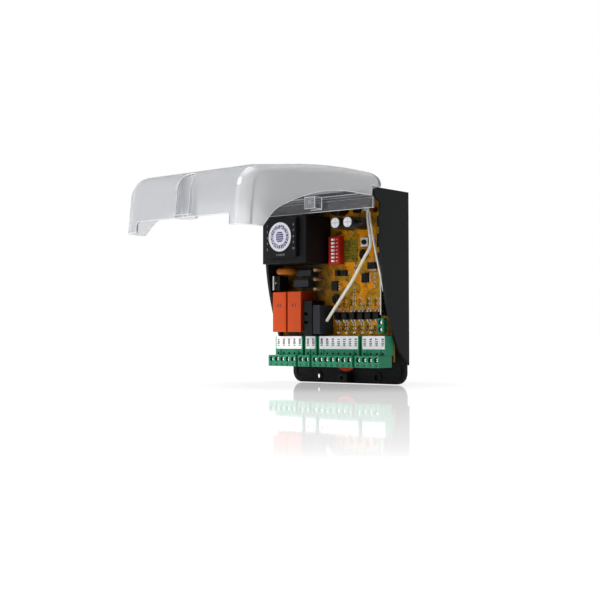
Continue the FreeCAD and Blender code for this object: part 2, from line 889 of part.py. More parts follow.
def opto_leg(x, z, sign):
    """A bent leg from the middle of an optocoupler's side down to its pad on the board."""
    outline = [(above(2.1), z), (above(1.7), z), (above(0.4), z + sign * (opto_leg_reach - 0.7)),
               (board_front, z + sign * (opto_leg_reach - 0.7)), (board_front, z + sign * opto_leg_reach),
               (above(0.6), z + sign * opto_leg_reach), (above(2.1), z + sign * 0.7)]
    return prism_x(outline, x - opto_leg_width / 2, x + opto_leg_width / 2)


def opto_centres():
    return [(opto_first_x + i * opto_pitch, opto_z) for i in range(opto_count)]


def make_optocouplers():
    return group([mounted(x - opto_width / 2, x + opto_width / 2, opto_depth, z - opto_height / 2,
                          z + opto_height / 2, 0.3) for x, z in opto_centres()])


# Flat chips: centre x, centre z, width, height, thickness, pins along the sides and along the ends
chips = [(right - 17.4, button_z - 16.6, 7.2, 4.6, 1.8, 0, 4),
         (right - 23.5, button_z - 24.9, 6.0, 6.6, 1.4, 5, 0),
         (right - 42.0, button_z - 21.0, 5.4, 4.0, 2.2, 2, 0),
         (right - 47.4, button_z - 20.8, 2.8, 4.2, 3.0, 0, 0),
         (right - 50.3, button_z - 29.8, 5.2, 6.6, 1.8, 3, 0),
         (right - 30.3, board_top - 7.8, 6.4, 5.2, 1.8, 3, 0)]


def make_chips():
    return group([mounted(x - w / 2, x + w / 2, t, z - h / 2, z + h / 2, 0.2) for x, z, w, h, t, _, _ in chips])


def make_chip_pins():
    pins = []
    for x, z, w, h, t, sides, ends in chips:
        for i in range(sides):
            dz = (i - (sides - 1) / 2) * h / (sides + 0.6)
            pins += [gull_pin(x + w / 2, z + dz, True, 1), gull_pin(x - w / 2, z + dz, True, -1)]
        for i in range(ends):
            dx = (i - (ends - 1) / 2) * w / (ends + 0.6)
            pins += [gull_pin(x + dx, z + h / 2, False, 1), gull_pin(x + dx, z - h / 2, False, -1)]
    for x, z in opto_centres():
        for dx in (-1.27, 1.27):
            pins += [opto_leg(x + dx, z + opto_height / 2, 1), opto_leg(x + dx, z - opto_height / 2, -1)]
    return group(pins)


def make_small_parts():
    """Surface-mounted resistors and capacitors, in the rows above and below the optocouplers."""
    solids = []
    for i in range(opto_count):
        for row in range(2):
            x = opto_first_x + i * opto_pitch
            if x > right - 34.0:
                z = opto_z + 8.4 + row * 3.6
                solids.append(mounted(x - 1.1, x + 1.1, 0.6, z - 0.65, z + 0.65))
    for i in range(led_count):
        x = opto_first_x + i * led_pitch
        for row in range(2):
            z = opto_z - 6.3 - row * 2.4
            solids.append(mounted(x - 1.0, x + 1.0, 0.6, z - 0.6, z + 0.6))
    for i in range(7):
        z = button_z - 29.5 - i * 2.1
        solids.append(mounted(right - 33.9, right - 32.4, 0.5, z - 0.5, z + 0.5))
    for i in range(4):
        z = button_z - 22.0 - i * 3.0
        solids.append(mounted(right - 16.0, right - 14.2, 0.6, z - 0.6, z + 0.6))
    for i in range(3):
        z = button_z - 16.0 - i * 3.2
        solids.append(mounted(right - 33.0, right - 31.2, 0.6, z - 0.6, z + 0.6))
    return group(solids)


def make_status_leds():
    return group([mounted(opto_first_x + i * led_pitch - 1.0, opto_first_x + i * led_pitch + 1.0, 1.1,
                          opto_z - 12.6, opto_z - 11.2, 0.2) for i in range(led_count)])


receiver_x = right - 5.6
receiver_low = aux_z + pitch + 2.4
receiver_high = receiver_low + 30.0


def make_receiver_card():
    return box(receiver_x, receiver_x + 1.0, above(8.0), above(2.6), receiver_low, receiver_high)


def make_receiver_socket():
    socket = mounted(receiver_x - 1.0, receiver_x + 2.0, 4.2, receiver_low - 0.6, receiver_high + 0.6)
    groove = box(receiver_x, receiver_x + 1.0, above(5.0), above(2.6), receiver_low, receiver_high)
    return socket.cut(groove)


def make_edge_parts():
    """Black power parts along the right edge of the board."""
    solids = []
    for drop, tall in ((18.2, 7.6), (31.4, 9.6), (44.3, 9.0)):
        z = board_top - drop
        solids.append(mounted(right - 10.6, right - 7.0, 5.0, z - tall / 2, z + tall / 2, 0.5))
    return group(solids)


connector_x = right - 19.2
connector_bottom = board_top - 10.1


def make_antenna_connector():
    body = mounted(connector_x - 2.7, connector_x + 2.7, 5.0, connector_bottom, connector_bottom + 4.2)
    notch = box(connector_x - 1.6, connector_x + 1.6, above(6.0), above(4.2), connector_bottom + 1.0,
                connector_bottom + 5.2)
    return body.cut(notch)


# Each wire's route, chosen by hand: wire 1 runs into a thicker sleeve, wire 2 ends bare
cord_routes = {
    "antenna_wire_1": (antenna_wire_diameter,
                       [(30.0, -18.3, 54.2), (30.0, -18.3, 49.7), (32.4, -20.2, 43.2), (34.7, -21.6, 37.4)]),
    "antenna_sleeve": (antenna_sleeve_diameter,
                       [(34.7, -21.6, 37.4), (37.92, -23.56, 29.28), (31.9, -24.3, 21.3), (22.8, -24.8, 6.2),
                        (10.9, -25.4, -8.2), (-0.9, -24.9, -22.4)]),
    "antenna_wire_2": (antenna_wire_diameter,
                       [(32.2, -18.3, 54.2), (32.2, -18.3, 49.4), (35.8, -20.4, 40.6), (40.8, -23.4, 24.6),
                        (46.6, -25.6, 8.6), (49.0, -25.4, -2.6)]),
}


def rounded_route(points):
    """Straight runs joined by tangent arcs, and the smallest arc's radius."""
    points = [V(*p) for p in points]
    radii = [0.0]
    for before, here, after in zip(points, points[1:], points[2:]):
        shorter = min((here - before).Length, (after - here).Length)
        turn = (here - before).getAngle(after - here)
        radii.append(0.45 * shorter / math.tan(turn / 2))
    radii.append(0.0)
    return rounded_wire(points, radii, closed=False), min(radii[1:-1])


def make_cord(name):
    diameter, points = cord_routes[name]
    path, smallest = rounded_route(points)
    start = V(*points[0])
    ring = Part.Wire(Part.makeCircle(diameter / 2, start, V(*points[1]) - start))
    tube = path.makePipeShell([ring], True, False, 2)
    ideal = math.pi * diameter ** 2 / 4 * path.Length
    print(name, "length", round(path.Length, 1), "smallest radius", round(smallest, 1),
          "volume ratio", round(tube.Volume / ideal, 3))
    return tube


def make_pieces():
    pieces = {
        "back_case": make_back_case(), "cable_grommet": make_cable_grommet(),
        "cover": make_cover().rotate(V(0, hinge_y, hinge_z), V(1, 0, 0), -open_angle),
        "main_board": make_board(), "board_screws": make_board_screws(),
        "transformer_block": make_transformer(), "transformer_core": make_transformer_core(),
        "transformer_sticker": make_transformer_sticker(),
        "relay_1": make_relay(0), "relay_2": make_relay(1),
        "fuse_holder": make_fuse_holder(), "slim_relay": make_slim_relay(),
        "varistor": make_varistor(), "triac": make_triac(), "triac_tab": make_triac_tab(),
        "film_capacitors": make_film_capacitors(), "standing_resistors": make_standing_resistors(),
        "capacitor_sleeves": make_capacitor_sleeves(), "capacitor_tops": make_capacitor_tops(),
        "round_choke": make_round_choke(), "antenna_coil": make_antenna_coil(),
        "dip_switch_body": make_dip_body(),
        "button_base": make_button_base(), "button_frame": make_button_frame(),
        "button_plunger": make_button_plunger(),
        "terminal_labels": make_labels(), "header_contacts": make_header_contacts(),
        "aux_terminal": make_aux_terminal(), "aux_screws": make_aux_screws(),
        "optocouplers": make_optocouplers(), "chips": make_chips(), "chip_pins": make_chip_pins(),
        "small_parts": make_small_parts(), "status_leds": make_status_leds(),
        "receiver_card": make_receiver_card(), "receiver_socket": make_receiver_socket(),
        "edge_parts": make_edge_parts(), "antenna_connector": make_antenna_connector(),
    }
    for name in cord_routes:
        pieces[name] = make_cord(name)
    for i in range(7):
        pieces["dip_slider_%d" % (i + 1)] = make_dip_slider(i)
    for i, poles in enumerate(pole_groups()):
        pieces["header_%d" % (i + 1)] = make_header(poles)
        pieces["plug_%d" % (i + 1)] = make_plug(poles)
        pieces["plug_screws_%d" % (i + 1)] = make_plug_screws(poles)
    return pieces


os.makedirs("parts", exist_ok=True)
for name, shape in make_pieces().items():
    shape.exportStep("parts/" + name + ".step")
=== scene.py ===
import bmesh
import bpy
import json
from math import pi, radians
from mathutils import Matrix, Vector

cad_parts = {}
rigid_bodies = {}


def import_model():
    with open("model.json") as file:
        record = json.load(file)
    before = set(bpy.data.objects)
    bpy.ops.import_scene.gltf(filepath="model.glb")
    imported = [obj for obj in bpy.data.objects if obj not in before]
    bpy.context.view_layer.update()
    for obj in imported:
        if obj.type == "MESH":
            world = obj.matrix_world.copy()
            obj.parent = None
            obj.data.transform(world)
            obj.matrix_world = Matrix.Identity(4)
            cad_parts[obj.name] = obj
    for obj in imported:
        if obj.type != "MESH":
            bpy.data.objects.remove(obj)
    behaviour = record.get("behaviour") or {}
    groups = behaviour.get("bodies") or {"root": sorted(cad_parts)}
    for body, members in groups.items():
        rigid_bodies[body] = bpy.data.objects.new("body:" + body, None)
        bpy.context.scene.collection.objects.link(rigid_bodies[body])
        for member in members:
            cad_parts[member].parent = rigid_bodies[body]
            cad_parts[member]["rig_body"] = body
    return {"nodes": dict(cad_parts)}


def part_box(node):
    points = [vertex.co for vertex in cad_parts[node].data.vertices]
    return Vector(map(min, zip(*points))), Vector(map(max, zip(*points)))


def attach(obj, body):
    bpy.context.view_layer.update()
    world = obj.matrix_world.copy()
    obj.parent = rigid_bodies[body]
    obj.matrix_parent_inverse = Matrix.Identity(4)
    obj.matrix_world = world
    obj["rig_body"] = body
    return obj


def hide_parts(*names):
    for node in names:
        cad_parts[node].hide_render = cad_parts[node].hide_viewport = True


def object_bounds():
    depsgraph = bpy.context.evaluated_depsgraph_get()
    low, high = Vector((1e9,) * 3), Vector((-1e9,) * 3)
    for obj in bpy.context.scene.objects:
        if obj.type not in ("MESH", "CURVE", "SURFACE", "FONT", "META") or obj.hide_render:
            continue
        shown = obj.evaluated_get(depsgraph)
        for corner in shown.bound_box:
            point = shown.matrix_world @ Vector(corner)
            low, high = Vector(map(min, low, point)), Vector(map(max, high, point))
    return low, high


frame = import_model()
cad_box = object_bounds()


# The photograph's view: a long lens a little to the panel's right, almost level with the terminals.
# Two soft lamps light the panel, and two tall narrow ones draw bright lines on its clear cover.
def add(name, data):
    """Puts an object that holds that data into the scene."""
    made = bpy.data.objects.new(name, data)
    bpy.context.scene.collection.objects.link(made)
    return made


def facing(place, direction):
    """The matrix of a camera or lamp at that place that looks in that direction."""
    return Matrix.Translation(place) @ direction.to_track_quat("-Z", "Y").to_matrix().to_4x4()


sight = Vector((-0.644, 0.7642, 0.0362)).normalized()
roll = Matrix.Rotation(radians(-0.077), 4, "Z")
camera = add("camera", bpy.data.cameras.new("camera"))
camera.data.lens = 67.06
camera.data.sensor_width = 36
camera.data.shift_x = 0.00555
camera.data.shift_y = -0.00667
camera.data.clip_start = 0.01
camera.matrix_world = facing((0.4936, -0.6448, -0.0334), sight) @ roll
bpy.context.scene.camera = camera
bpy.context.scene.view_settings.view_transform = "Standard"


def lamp(name, width, power, place, height=None):
    """A soft lamp aimed at the panel's middle: a square, or a strip when it has a height."""
    light = bpy.data.lights.new(name, "AREA")
    light.size = width
    light.energy = power
    if height:
        light.shape = "RECTANGLE"
        light.size_y = height
    panel_middle = Vector((0, -0.03, 0))
    add(name, light).matrix_world = facing(place, panel_middle - Vector(place))


lamp("window_left", 0.5, 8.8, (-0.3, -1.05, 0.75))
lamp("overhead", 0.8, 4.0, (0.0, -0.2, 1.1))
lamp("strip_right", 0.1, 1.1, (1.1, 0.05, 0.1), height=1.2)
lamp("strip_left", 0.1, 2.4, (-0.5, -1.3, 0.1), height=1.2)


# White paper all round. The eye and clear plastic see it at full white and gloss at half white, and it
# lights the panel less than that.
class Value:
    """A number, vector or colour in a graph. Sums on a number add their Math nodes."""

    def __init__(self, graph, socket):
        self.graph = graph
        self.socket = socket

    def _sum(self, operation, first, second=None):
        return self.graph.node("Math", {"operation": operation}, first, second)

    def __add__(self, other): return self._sum("ADD", self, other)
    def __radd__(self, other): return self._sum("ADD", other, self)
    def __sub__(self, other): return self._sum("SUBTRACT", self, other)
    def __rsub__(self, other): return self._sum("SUBTRACT", other, self)
    def __mul__(self, other): return self._sum("MULTIPLY", self, other)
    def __truediv__(self, other): return self._sum("DIVIDE", self, other)
    def __pow__(self, other): return self._sum("POWER", self, other)
    def __mod__(self, other): return self._sum("FLOORED_MODULO", self, other)
    def __gt__(self, other): return self._sum("GREATER_THAN", self, other)
    def __lt__(self, other): return self._sum("LESS_THAN", self, other)
    def __or__(self, other): return self._sum("MAXIMUM", self, other)
    def __and__(self, other): return self._sum("MINIMUM", self, other)
    def __abs__(self): return self._sum("ABSOLUTE", self)

    def between(self, low, high):
        """1 where the number lies from low to high, otherwise 0."""
        return (self > low) * (self < high)

    def held(self):
        """The number, held between 0 and 1."""
        return (self & 1.0) | 0.0


class Graph:
    """A tree of shader nodes."""

    def __init__(self, tree):
        self.tree = tree

    def feed(self, socket, value):
        """Links a value to a socket, or sets the socket to a plain one. None leaves it as it is."""
        if isinstance(value, Value):
            self.tree.links.new(value.socket, socket)
        elif value is not None:
            socket.default_value = value

    def node(self, kind, settings=None, *values, output=0, **named):
        """Any node: its type, its settings, then the values or links of its sockets."""
        made = self.tree.nodes.new("ShaderNode" + kind)
        for key, value in (settings or {}).items():
            setattr(made, key, value)
        for socket, value in zip(made.inputs, values):
            self.feed(socket, value)
        for key, value in named.items():
            self.feed(made.inputs[key.replace("_", " ").title()], value)
        return Value(self, made.outputs[output])

    def distance(self, x, z):
        """How far the point x, z is from the point 0, 0."""
        return self.node("Math", {"operation": "SQRT"}, x * x + z * z)


def white_for_rays(graph, soft, eye, gloss, plastic):
    """A strength for soft light, and stronger ones for rays from the eye, off gloss and through plastic."""
    kinds = (("Is Camera Ray", eye), ("Is Glossy Ray", gloss), ("Is Transmission Ray", plastic))
    from_eye, off_gloss, through = [graph.node("LightPath", output=kind) * (strength - soft)
                                    for kind, strength in kinds]
    return (from_eye | off_gloss | through) + soft


paper = bpy.data.worlds.new("paper")
paper.use_nodes = True
bpy.context.scene.world = paper
sky = Graph(paper.node_tree)
background = paper.node_tree.nodes["Background"]
sky.feed(background.inputs["Color"], (1, 1, 1, 1))
sky.feed(background.inputs["Strength"], white_for_rays(sky, soft=0.2, eye=1.0, gloss=0.5, plastic=1.0))


# Floor: a pale glossy sheet just under the panel. Its glow is dimmer near the panel, as a painted shadow
# round the panel's foot, and its shine fades towards the viewer.
MM = 0.001


def tone(red, green, blue):
    """A colour as the eye reads it off a screen, 0 to 255, as the linear numbers that shaders take."""
    parts = [v / 255 for v in (red, green, blue)]
    return [v / 12.92 if v <= 0.04045 else ((v + 0.055) / 1.055) ** 2.4 for v in parts] + [1.0]


class Finish(Graph):
    """A procedural material. Object coordinates are in metres, so its patterns are scaled to millimetres."""

    def __init__(self, name, colour=(0.5, 0.5, 0.5, 1), **shader_values):
        self.material = bpy.data.materials.new(name)
        self.material.use_nodes = True
        super().__init__(self.material.node_tree)
        self.shader = self.tree.nodes["Principled BSDF"]
        self.put("Base Color", colour)
        for socket, value in shader_values.items():
            self.put(socket.replace("_", " ").title().replace("Ior", "IOR"), value)

    def put(self, socket, value):
        """Sets or links one socket of the main shader."""
        self.feed(self.shader.inputs[socket], value)
        if socket == "Base Color":
            self.base = value

    def tint(self, mask, colour):
        """Lays another colour over the base colour, where the mask is 1."""
        self.put("Base Color", self.mix(mask, self.base, colour))

    def place(self, shift=(0, 0, 0)):
        """Where the surface is, in millimetres from the panel's own origin, moved by shift."""
        return self.node("Mapping", {}, self.node("TexCoord", output="Object"), location=shift,
                         scale=(1000, 1000, 1000))

    def axes(self, shift=(0, 0, 0)):
        """The three numbers of that place."""
        split = self.tree.nodes.new("ShaderNodeSeparateXYZ")
        self.feed(split.inputs[0], self.place(shift))
        return [Value(self, socket) for socket in split.outputs]

    def noise(self, size, place=None, detail=3.0, roughness=0.5):
        """Soft random spots about that many millimetres across."""
        return self.node("TexNoise", {}, place or self.place(), scale=1 / size, detail=detail,
                         roughness=roughness)

    def mix(self, factor, first, second):
        """A colour between two. The Mix node's colours are its sockets 6, 7 and, going out, 2."""
        made = self.tree.nodes.new("ShaderNodeMix")
        made.data_type = "RGBA"
        for index, value in ((0, factor), (6, first), (7, second)):
            self.feed(made.inputs[index], value)
        return Value(self, made.outputs[2])

    def bump(self, height, strength, distance):
        """Raised and sunk detail, distance in millimetres."""
        self.put("Normal", self.node("Bump", {}, strength=strength, distance=distance * MM, height=height))


def floor_look():
    """Dull white paper with a thin gloss, mixed in by how far a place is towards the viewer. Its glow is
    dimmer near the panel, as a painted shadow.
    """
    look = Finish("floor_white", tone(112, 112, 114), roughness=0.6, specular_ior_level=0.0)
    x, y, _ = look.axes()
    # Painted shadow: the floor's glow is dimmer up to about 120 mm from the panel's middle.
    glow_with_painted_shadow = look.node("MapRange", {}, look.distance(x, y + 30), from_min=55.0, from_max=120.0, to_min=0.74)
    look.put("Emission Color", (1, 1, 1, 1))
    look.put("Emission Strength", glow_with_painted_shadow * white_for_rays(look, soft=0.1, eye=1.0, gloss=0.5, plastic=0.95))
    half_metres = (x * -sight.x - y * sight.y) / 500
    fade = (1 - half_metres.held()) ** 0.3 * 0.5
    gloss = look.node("BsdfGlossy", {}, color=(2, 2, 2, 1), roughness=0.04)
    both = look.node("MixShader", {}, fade, Value(look, look.shader.outputs[0]), gloss)
    look.feed(look.tree.nodes["Material Output"].inputs[0], both)
    return look


def mesh_from(name, form, *materials):
    """Turns a finished form into a mesh with those materials."""
    mesh = bpy.data.meshes.new(name)
    form.to_mesh(mesh)
    form.free()
    for material in materials:
        mesh.materials.append(material)
    return mesh


floor_form = bmesh.new()
floor_drop = 0.4 * MM
bmesh.ops.create_grid(floor_form, x_segments=2, y_segments=2, size=4.0)
bmesh.ops.translate(floor_form, verts=floor_form.verts, vec=(0, 0, cad_box[0][2] - floor_drop))
floor = add("floor_sheet", mesh_from("floor_sheet", floor_form, floor_look().material))


# Antenna wires: two thin white wires crimped into the connector at the top of the board. The left one ends
# in a thicker ivory sleeve that crosses the board. They are stiff enough to stand where they were bent.
def wire_look(name, colour):
    """Soft plastic insulation, a little dusty and uneven along its length. It glows a little, because the
    photo shows the wires brighter than plain light makes them."""
    look = Finish(name, colour, roughness=0.42, subsurface_weight=0.08, subsurface_scale=0.0008,
                  emission_color=colour, emission_strength=0.08)
    dust = look.noise(1.6, detail=4)
    look.tint(dust * 0.3, [v * 0.8 for v in colour[:3]] + [1])
    look.put("Roughness", dust * 0.25 + 0.32)
    look.bump(look.noise(0.5), 0.15, 0.05)
    return look.material


def wire(name, points, diameter, look, leaves):
    """A round wire on a smooth curve through its route's control points, in millimetres. It stands for
    the CAD piece that leaves the scene."""
    curve = bpy.data.curves.new(name, "CURVE")
    curve.dimensions = "3D"
    curve.bevel_depth = diameter / 2 * MM
    curve.bevel_resolution = 6
    curve.resolution_u = 24
    curve.use_fill_caps = True
    line = curve.splines.new("NURBS")
    line.points.add(len(points) - 1)
    for spot, (x, y, z) in zip(line.points, points):
        spot.co = (x * MM, y * MM, z * MM, 1)
    line.order_u = 3
    line.use_endpoint_u = True
    curve.materials.append(look)
    cord = add(name, curve)
    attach(cord, "case")
    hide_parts(leaves)
    return cord


white_wire = wire_look("wire_insulation", tone(250, 249, 245))
ivory_sleeve = wire_look("sleeve_ivory", tone(250, 244, 228))
left = wire("wire_left", [(30, -18.3, 54.2), (30, -18.3, 49.7), (32.4, -20.2, 43.2), (34.7, -21.6, 37.4)],
            1.5, white_wire, "antenna_wire_1")
across = wire("wire_sleeve", [(34.7, -21.6, 37.4), (37.92, -23.56, 29.28), (31.9, -24.3, 21.3),
                              (22.8, -24.8, 6.2), (10.9, -25.4, -8.2), (-0.9, -24.9, -22.4)],
              2.2, ivory_sleeve, "antenna_sleeve")
right = wire("wire_right", [(32.2, -18.3, 54.2), (32.2, -18.3, 49.4), (35.8, -20.4, 40.6),
                            (40.8, -23.4, 24.6), (46.6, -25.6, 8.6), (49.0, -25.4, -2.6)],
             1.5, white_wire, "antenna_wire_2")


# Back case: one black moulding that holds the board and hangs on the wall. Its faces are finely sparked,
# so they look matte, and its moulded edges are slightly rounded and catch the light.
def dress(look, *nodes):
    """Gives CAD pieces that material, in the slot that they have."""
    for node in nodes:
        frame["nodes"][node].material_slots[0].material = look


def cad_form(node):
    """A CAD piece's own form, with the corners that its faces share merged."""
    form = bmesh.new()
    form.from_mesh(frame["nodes"][node].data)
    bmesh.ops.remove_doubles(form, verts=form.verts, dist=0.005 * MM)
    return form


def eased(node, look, edge=0.25, sharp=40, rim=None, clamp=True):
    """Stands for a CAD piece: its own form, with its edges of more than sharp degrees rounded by edge
    millimetres. The rounded edges may have a material of their own, the rim. With clamp, an edge is
    rounded less where there is no room for more."""
    form = cad_form(node)
    bmesh.ops.dissolve_limit(form, angle_limit=radians(0.6), verts=form.verts, edges=form.edges)
    hard = [e for e in form.edges if len(e.link_faces) == 2 and e.calc_face_angle(0) > radians(sharp)]
    bmesh.ops.bevel(form, geom=hard, offset=edge * MM, affect="EDGES", segments=2, profile=0.5,
                    material=1 if rim else -1, clamp_overlap=clamp)
    mesh = mesh_from(node + "_eased", form, *([look, rim] if rim else [look]))
    mesh.shade_smooth()
    mesh.set_sharp_from_angle(angle=radians(35))
    piece = add(node + "_eased", mesh)
    piece.modifiers.new("flat_faces", "WEIGHTED_NORMAL").keep_sharp = True
    source = frame["nodes"][node]
    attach(piece, source["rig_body"])
    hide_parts(node)
    return piece


def moulded(name, colour, roughness=0.5, grain=0.35, depth=0.03, spots=0.1):
    """Moulded plastic with a fine sparked grain, faint cloudiness and a little dust."""
    look = Finish(name, colour, roughness=roughness, specular_ior_level=0.2)
    paler = [min(1, v * 1.35 + 0.006) for v in colour[:3]] + [1]
    look.tint(look.noise(9.0, detail=5, roughness=0.6) * spots, paler)
    look.put("Roughness", look.noise(2.5, detail=4) * 0.22 + roughness - 0.11)
    look.bump(look.noise(grain, detail=2), 0.35, depth)
    return look


def case_look():
    """Black, with painted shade that darkens the apron."""
    look = moulded("case_black_grain", tone(26, 27, 29), roughness=0.6, grain=0.32, depth=0.05)
    _, _, z = look.axes()
    apron_top, fade = -52, 4
    # Painted shade: the apron is darkened below its top.
    look.tint(((apron_top - z) / fade).held(), tone(12, 12, 13))
    return look


eased("back_case", case_look().material, edge=0.35)


# Cable grommet: a soft red rubber ring with a thin skin across it, pressed into the back plate's cable hole.
# Its flange is painted black at the rim, as shade.
def box_mm(node):
    """The lowest and the highest corner of a CAD piece, in millimetres."""
    low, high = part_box(node)
    return low * 1000, high * 1000


def grommet_look():
    """Red rubber, with painted shade in black outside a circle round the hole's middle."""
    look = moulded("grommet_red_rubber", tone(226, 66, 22), roughness=0.55, grain=0.6, spots=0.0)
    low, high = box_mm("cable_grommet")
    x, _, z = look.axes()
    shade_from = 10.4
    # Painted shade: black outside this circle.
    look.tint(look.distance(x, z - (low.z + high.z) / 2) > shade_from, tone(24, 14, 12))
    return look


dress(grommet_look().material, "cable_grommet")


# Main board: a fibre sheet with copper tracks under amber lacquer, screwed to the case's posts. The copper
# shows as paler amber between olive gaps, with tinned pads and black printed marks.
def board_tracks(look, x, z, flat, gap):
    """Straight tracks, level and upright, in some areas of the board, and rims where the gaps' number
    passes 0. The joints of two brick patterns are the tracks."""
    turned = look.node("CombineXYZ", {}, z, x, 0.0)
    level = look.node("TexBrick", {"offset": 0.35, "offset_frequency": 3, "squash": 1.6}, flat, output=1,
                      scale=0.32, mortar_size=0.035, mortar_smooth=0.0, bias=0.0, brick_width=2.6,
                      row_height=0.38)
    upright = look.node("TexBrick", {"offset": 0.45, "offset_frequency": 2}, turned, output=1,
                        scale=0.30, mortar_size=0.032, mortar_smooth=0.0, bias=0.0, brick_width=3.1,
                        row_height=0.42)
    level_area = look.noise(9, flat, detail=1.0) > 0.53
    upright_area = look.noise(13, look.node("CombineXYZ", {}, z, x, 4.0), detail=0.0) > 0.55
    rims = abs(gap) < 0.012
    return rims | (level * level_area) | (upright * upright_area)


def board_table(look, x, z, flat):
    """A printed table: the area that it fills, and its ruled lines and words."""
    left, right, low, high = 7.3, 19.8, 19.5, 35.3
    row_height, rule = 1.95, 0.3
    area = x.between(left, right) * z.between(low, high)
    row = (z - low) % row_height
    rules = (row < 0.38) | x.between(left, left + rule) | x.between(right - rule, right)
    columns = x.between(8.1, 12.6) | x.between(13.4, 18.8)
    words = (look.noise(0.7, flat, detail=0.0) > 0.5) * row.between(0.85, 1.5) * columns
    return area, area * (rules | words)


def board_print(look, x, z, flat):
    """The other marks: the table's title, two rings, the legends above and below the optocouplers, and
    scattered notes. Noise breaks them up, so they look like small print and say nothing."""
    title = (look.noise(0.6, flat, detail=0.0) > 0.45) * x.between(-0.6, 5.8) * z.between(39.4, 41.4)
    upper_ring = look.distance(x - 24.8, z - 24.0).between(3.55, 4.1)
    lower_ring = look.distance(x - 0.7, z + 6.9).between(3.55, 4.1)
    column = (x + 3.1) % 6.95
    under_optos = column.between(1.2, 5.2) * z.between(-29.8, -25.6)
    over_optos = column.between(2.2, 4.6) * z.between(-12.2, -7.2)
    legends = (look.noise(0.8, flat, detail=0.0) > 0.46) * x.between(0.6, 44.0) * (under_optos | over_optos)
    crowd = look.noise(5, flat, detail=0.0)
    crowded = (crowd > 0.6) | (crowd > 0.53) * (x < 12)
    notes = (look.noise(0.55, flat, detail=0.0) > 0.55) * crowded
    return upper_ring | lower_ring | notes | title | legends


def board_look():
    """Lacquer with its tracks, then tinned pads and drilled holes, then the print, all only on the front."""
    look = Finish("board_amber_lacquer", roughness=0.3, specular_ior_level=0.14)
    x, y, z = look.axes()
    flat = look.node("CombineXYZ", {}, x, z, 0.0)
    gap = look.noise(11, flat, detail=0.0) - 0.52
    patch = look.noise(3.0, flat, detail=3)
    amber = look.mix(patch, tone(240, 158, 6), tone(222, 140, 4))
    olive = look.mix(patch, tone(206, 152, 14), tone(180, 132, 12))
    look.put("Base Color", amber)
    look.tint(gap > 0, olive)

    # Painted shade: the board is darker at the left, at its right edge and under the optocouplers.
    left_shade = look.node("MapRange", {}, x, from_min=-16.0, from_max=9.0, to_min=1.0, to_max=0.0)
    look.tint(left_shade * 0.95, tone(58, 50, 14))
    look.tint((x > 45.6) * 0.8, tone(22, 18, 10))
    low, high = box_mm("optocouplers")
    middle, half_strip = (low.z + high.z) / 2, 2.7
    opto_shade_strip = x.between(low.x, high.x) * z.between(middle - half_strip, middle + half_strip)
    look.tint(opto_shade_strip * 0.85, tone(24, 18, 10))

    tracks = board_tracks(look, x, z, flat, gap)
    look.tint(tracks * 0.7, tone(112, 82, 10))
    cells = look.node("TexVoronoi", {"feature": "F1"}, flat, scale=0.30, randomness=1.0)
    drilled = look.noise(7, flat, detail=0.0) > 0.54
    hole_radius, pad_radius = 0.055, 0.13
    pads = cells.between(hole_radius, pad_radius)
    look.tint(pads * drilled, tone(196, 184, 150))
    look.tint((cells < hole_radius) * drilled, tone(40, 32, 14))

    table, table_marks = board_table(look, x, z, flat)
    look.tint(table, tone(146, 130, 24))
    look.tint(table_marks | board_print(look, x, z, flat), tone(24, 20, 8))
    front = y < -15.29
    look.tint(1 - front, tone(150, 110, 40))
    look.put("Roughness", 0.26 + patch * 0.2)
    look.put("Metallic", pads * drilled * front * 0.8)
    look.bump(tracks * -1.0 + pads * 2.0, 0.5, 0.05)
    return look


dress(board_look().material, "main_board")


# Board screws: four pan heads of blackened steel that clamp the board onto the case's posts. The headers'
# contacts and the antenna connector, both soldered to the board, are of tinned metal.
def metal(name, colour, roughness=0.3, metallic=1.0):
    """Metal with fine wear in its colour, its shine and its surface."""
    look = Finish(name, colour, metallic=metallic, roughness=roughness)
    wear = look.noise(0.4, detail=4)
    look.tint(wear * 0.5, [v * 0.6 for v in colour[:3]] + [1])
    look.put("Roughness", wear * 0.3 + roughness - 0.12)
    look.bump(wear, 0.2, 0.02)
    return look


pin_tin = metal("tinned_pins", tone(244, 242, 236), roughness=0.32, metallic=0.35)
dress(metal("board_screw_black", tone(40, 36, 30), roughness=0.4).material, "board_screws")
dress(pin_tin.material, "header_contacts", "antenna_connector")


# Transformer: a black potted block soldered to the board, with a raised square over its core and a round
# white sticker. The sticker's print is plain rings of marks.
block_black = moulded("transformer_black", tone(13, 13, 15), roughness=0.5, grain=0.4, depth=0.04)
eased("transformer_block", block_black.material, edge=0.5)
eased("transformer_core", block_black.material, edge=0.35)


def sticker_look():
    """A ring of dashes, broken up by noise, round a few level lines. Distances are from its middle."""
    look = Finish("sticker_print", tone(240, 240, 246), roughness=0.35)
    low, high = box_mm("transformer_sticker")
    middle = (low + high) / 2
    x, _, z = look.axes(shift=(-middle.x, 0, -middle.z))
    reach = look.distance(x, z)
    angle = look.node("Math", {"operation": "ARCTAN2"}, z, x)
    dashes = 26
    ring = ((angle * (dashes / (2 * pi)) + 40) % 1.0).between(0.09, 0.91) * reach.between(5.9, 8.5)
    lines = ((z + 20) % 1.5 < 1.02) * (reach < 3.9) * (abs(x) < 3.4)
    ink = ring * (look.noise(0.55, detail=0.0) < 0.60) | lines
    look.tint(ink, tone(36, 26, 116))
    look.put("Roughness", 0.3 + ink * 0.2)
    return look


dress(sticker_look().material, "transformer_sticker")


